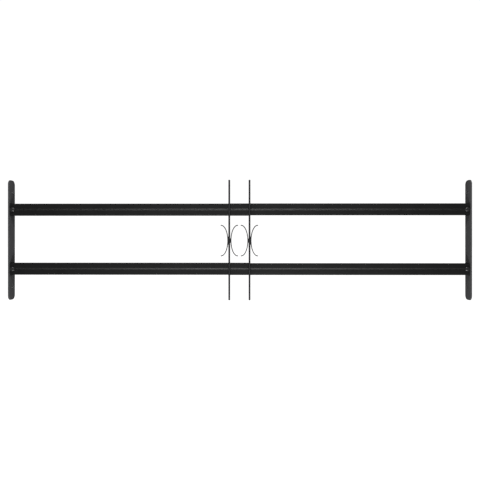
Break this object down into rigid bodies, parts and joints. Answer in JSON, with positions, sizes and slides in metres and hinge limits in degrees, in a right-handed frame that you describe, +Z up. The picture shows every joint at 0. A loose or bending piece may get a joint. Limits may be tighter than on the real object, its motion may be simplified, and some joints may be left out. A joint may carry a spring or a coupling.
{
  "type": "window security bar",
  "caption": "Telescopic window security bar: sliding steel crossbars between end plates, with uprights and scrolls at the middle, screwed into a window reveal.",
  "frame": {"origin": "middle of the left end plate's outer face, where the bar meets the window reveal", "axes": "+X along the bars towards the sliding half's end plate, -Y to the front, +Z up"},
  "size_m": [1.166, 0.0356, 0.304],
  "materials": {
    "black_coat": "fine-textured black powder coat on steel sheet, semi-matt",
    "iron_grey_coat": "iron-grey powder coat on steel, semi-matt",
    "rivet_grey": "smooth iron-grey paint, semi-gloss"
  },
  "bodies": {
    "fixed_half": {"left_end_plate": "iron_grey_coat", "upper_outer_channel": "black_coat", "lower_outer_channel": "black_coat", "left_upper_stub": "black_coat", "left_lower_stub": "black_coat", "left_upper_rivet": "rivet_grey", "left_lower_rivet": "rivet_grey", "right_upright": "iron_grey_coat", "right_upright_inner_scroll": "iron_grey_coat", "right_upright_outer_scroll": "iron_grey_coat", "upper_spacer": "iron_grey_coat", "lower_spacer": "iron_grey_coat"},
    "sliding_half": {"right_end_plate": "iron_grey_coat", "upper_inner_channel": "black_coat", "lower_inner_channel": "black_coat", "right_upper_stub": "black_coat", "right_lower_stub": "black_coat", "right_upper_rivet": "rivet_grey", "right_lower_rivet": "rivet_grey", "left_upright": "iron_grey_coat", "left_upright_inner_scroll": "iron_grey_coat", "left_upright_outer_scroll": "iron_grey_coat", "upper_hook": "iron_grey_coat", "lower_hook": "iron_grey_coat"}
  },
  "joints": [
    {"name": "width_slide", "type": "slide", "parent": "fixed_half", "child": "sliding_half", "axis": [1, 0, 0], "range_m": [-0.53, 0.004]}
  ]
}
